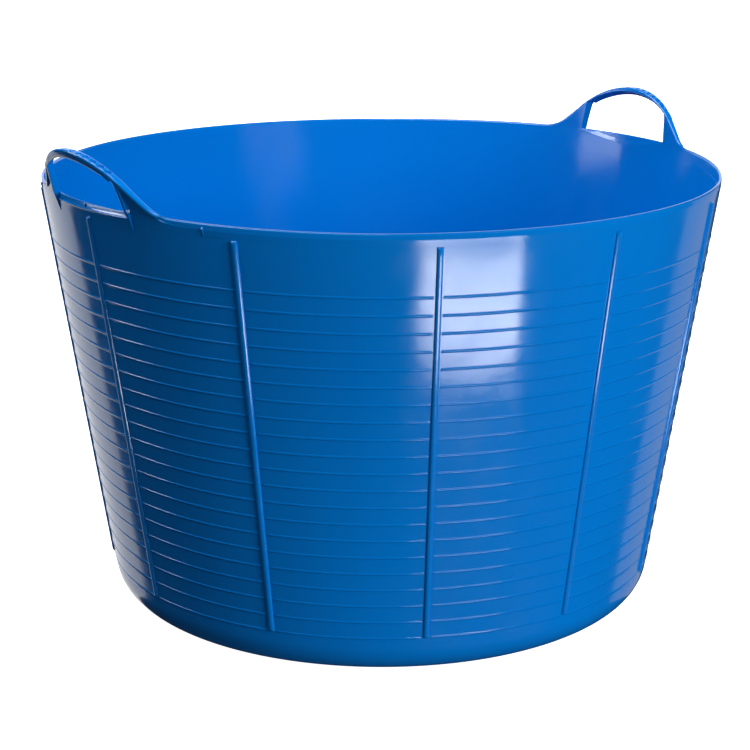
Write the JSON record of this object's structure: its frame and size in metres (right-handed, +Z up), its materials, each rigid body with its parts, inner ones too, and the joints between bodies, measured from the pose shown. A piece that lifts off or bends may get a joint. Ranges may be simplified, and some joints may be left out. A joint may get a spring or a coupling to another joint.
{
  "type": "mortar mixing tub",
  "caption": "Round flexible plastic mixing tub with flared ribbed wall, rolled rim and two springy hand-hole handles.",
  "frame": {"origin": "centre of the base, on the ground", "axes": "+Z up along the tub's axis, +X through the middle of the right handle, -X through the left handle, -Y the front"},
  "size_m": [0.5876, 0.56, 0.3996],
  "materials": {
    "tub_plastic": "smooth semi-gloss moulded polyethylene, faint flow marks and handling scuffs"
  },
  "bodies": {
    "tub": {"base_corner": "tub_plastic", "floor_panel": "tub_plastic", "foot_ring": "tub_plastic", "gate_mark": "tub_plastic", "left_front_foot": "tub_plastic", "left_front_jamb": "tub_plastic", "left_rear_foot": "tub_plastic", "left_rear_jamb": "tub_plastic", "left_sill_gusset": "tub_plastic", "right_front_foot": "tub_plastic", "right_front_jamb": "tub_plastic", "right_rear_foot": "tub_plastic", "right_rear_jamb": "tub_plastic", "right_sill_gusset": "tub_plastic", "rim_band": "tub_plastic", "rim_gusset_1": "tub_plastic", "rim_gusset_2": "tub_plastic", "rim_gusset_3": "tub_plastic", "rim_gusset_4": "tub_plastic", "ring_line_01": "tub_plastic", "ring_line_02": "tub_plastic", "ring_line_03": "tub_plastic", "ring_line_04": "tub_plastic", "ring_line_05": "tub_plastic", "ring_line_06": "tub_plastic", "ring_line_07": "tub_plastic", "ring_line_08": "tub_plastic", "ring_line_09": "tub_plastic", "ring_line_10": "tub_plastic", "ring_line_11": "tub_plastic", "ring_line_12": "tub_plastic", "ring_line_13": "tub_plastic", "ring_line_14": "tub_plastic", "ring_line_15": "tub_plastic", "ring_line_16": "tub_plastic", "ring_line_17": "tub_plastic", "ring_line_18": "tub_plastic", "ring_line_19": "tub_plastic", "ring_line_20": "tub_plastic", "ring_line_21": "tub_plastic", "wall_rib_01": "tub_plastic", "wall_rib_02": "tub_plastic", "wall_rib_03": "tub_plastic", "wall_rib_04": "tub_plastic", "wall_rib_05": "tub_plastic", "wall_rib_06": "tub_plastic", "wall_rib_07": "tub_plastic", "wall_rib_08": "tub_plastic", "wall_rib_09": "tub_plastic", "wall_rib_10": "tub_plastic", "wall_rib_11": "tub_plastic", "wall_rib_12": "tub_plastic", "wall_shell": "tub_plastic"},
    "right_handle": {"right_front_leg": "tub_plastic", "right_grip": "tub_plastic", "right_rear_leg": "tub_plastic"},
    "left_handle": {"left_front_leg": "tub_plastic", "left_grip": "tub_plastic", "left_rear_leg": "tub_plastic"}
  },
  "joints": [
    {"name": "right_handle_flex", "type": "hinge", "parent": "tub", "child": "right_handle", "pos_m": [0.27558, 0, 0.372], "axis": [0, -1, 0], "range_deg": [-20, 40], "stiffness_Nm_per_rad": 2},
    {"name": "left_handle_flex", "type": "hinge", "parent": "tub", "child": "left_handle", "pos_m": [-0.27558, 0, 0.372], "axis": [0, 1, 0], "range_deg": [-20, 40], "stiffness_Nm_per_rad": 2}
  ]
}
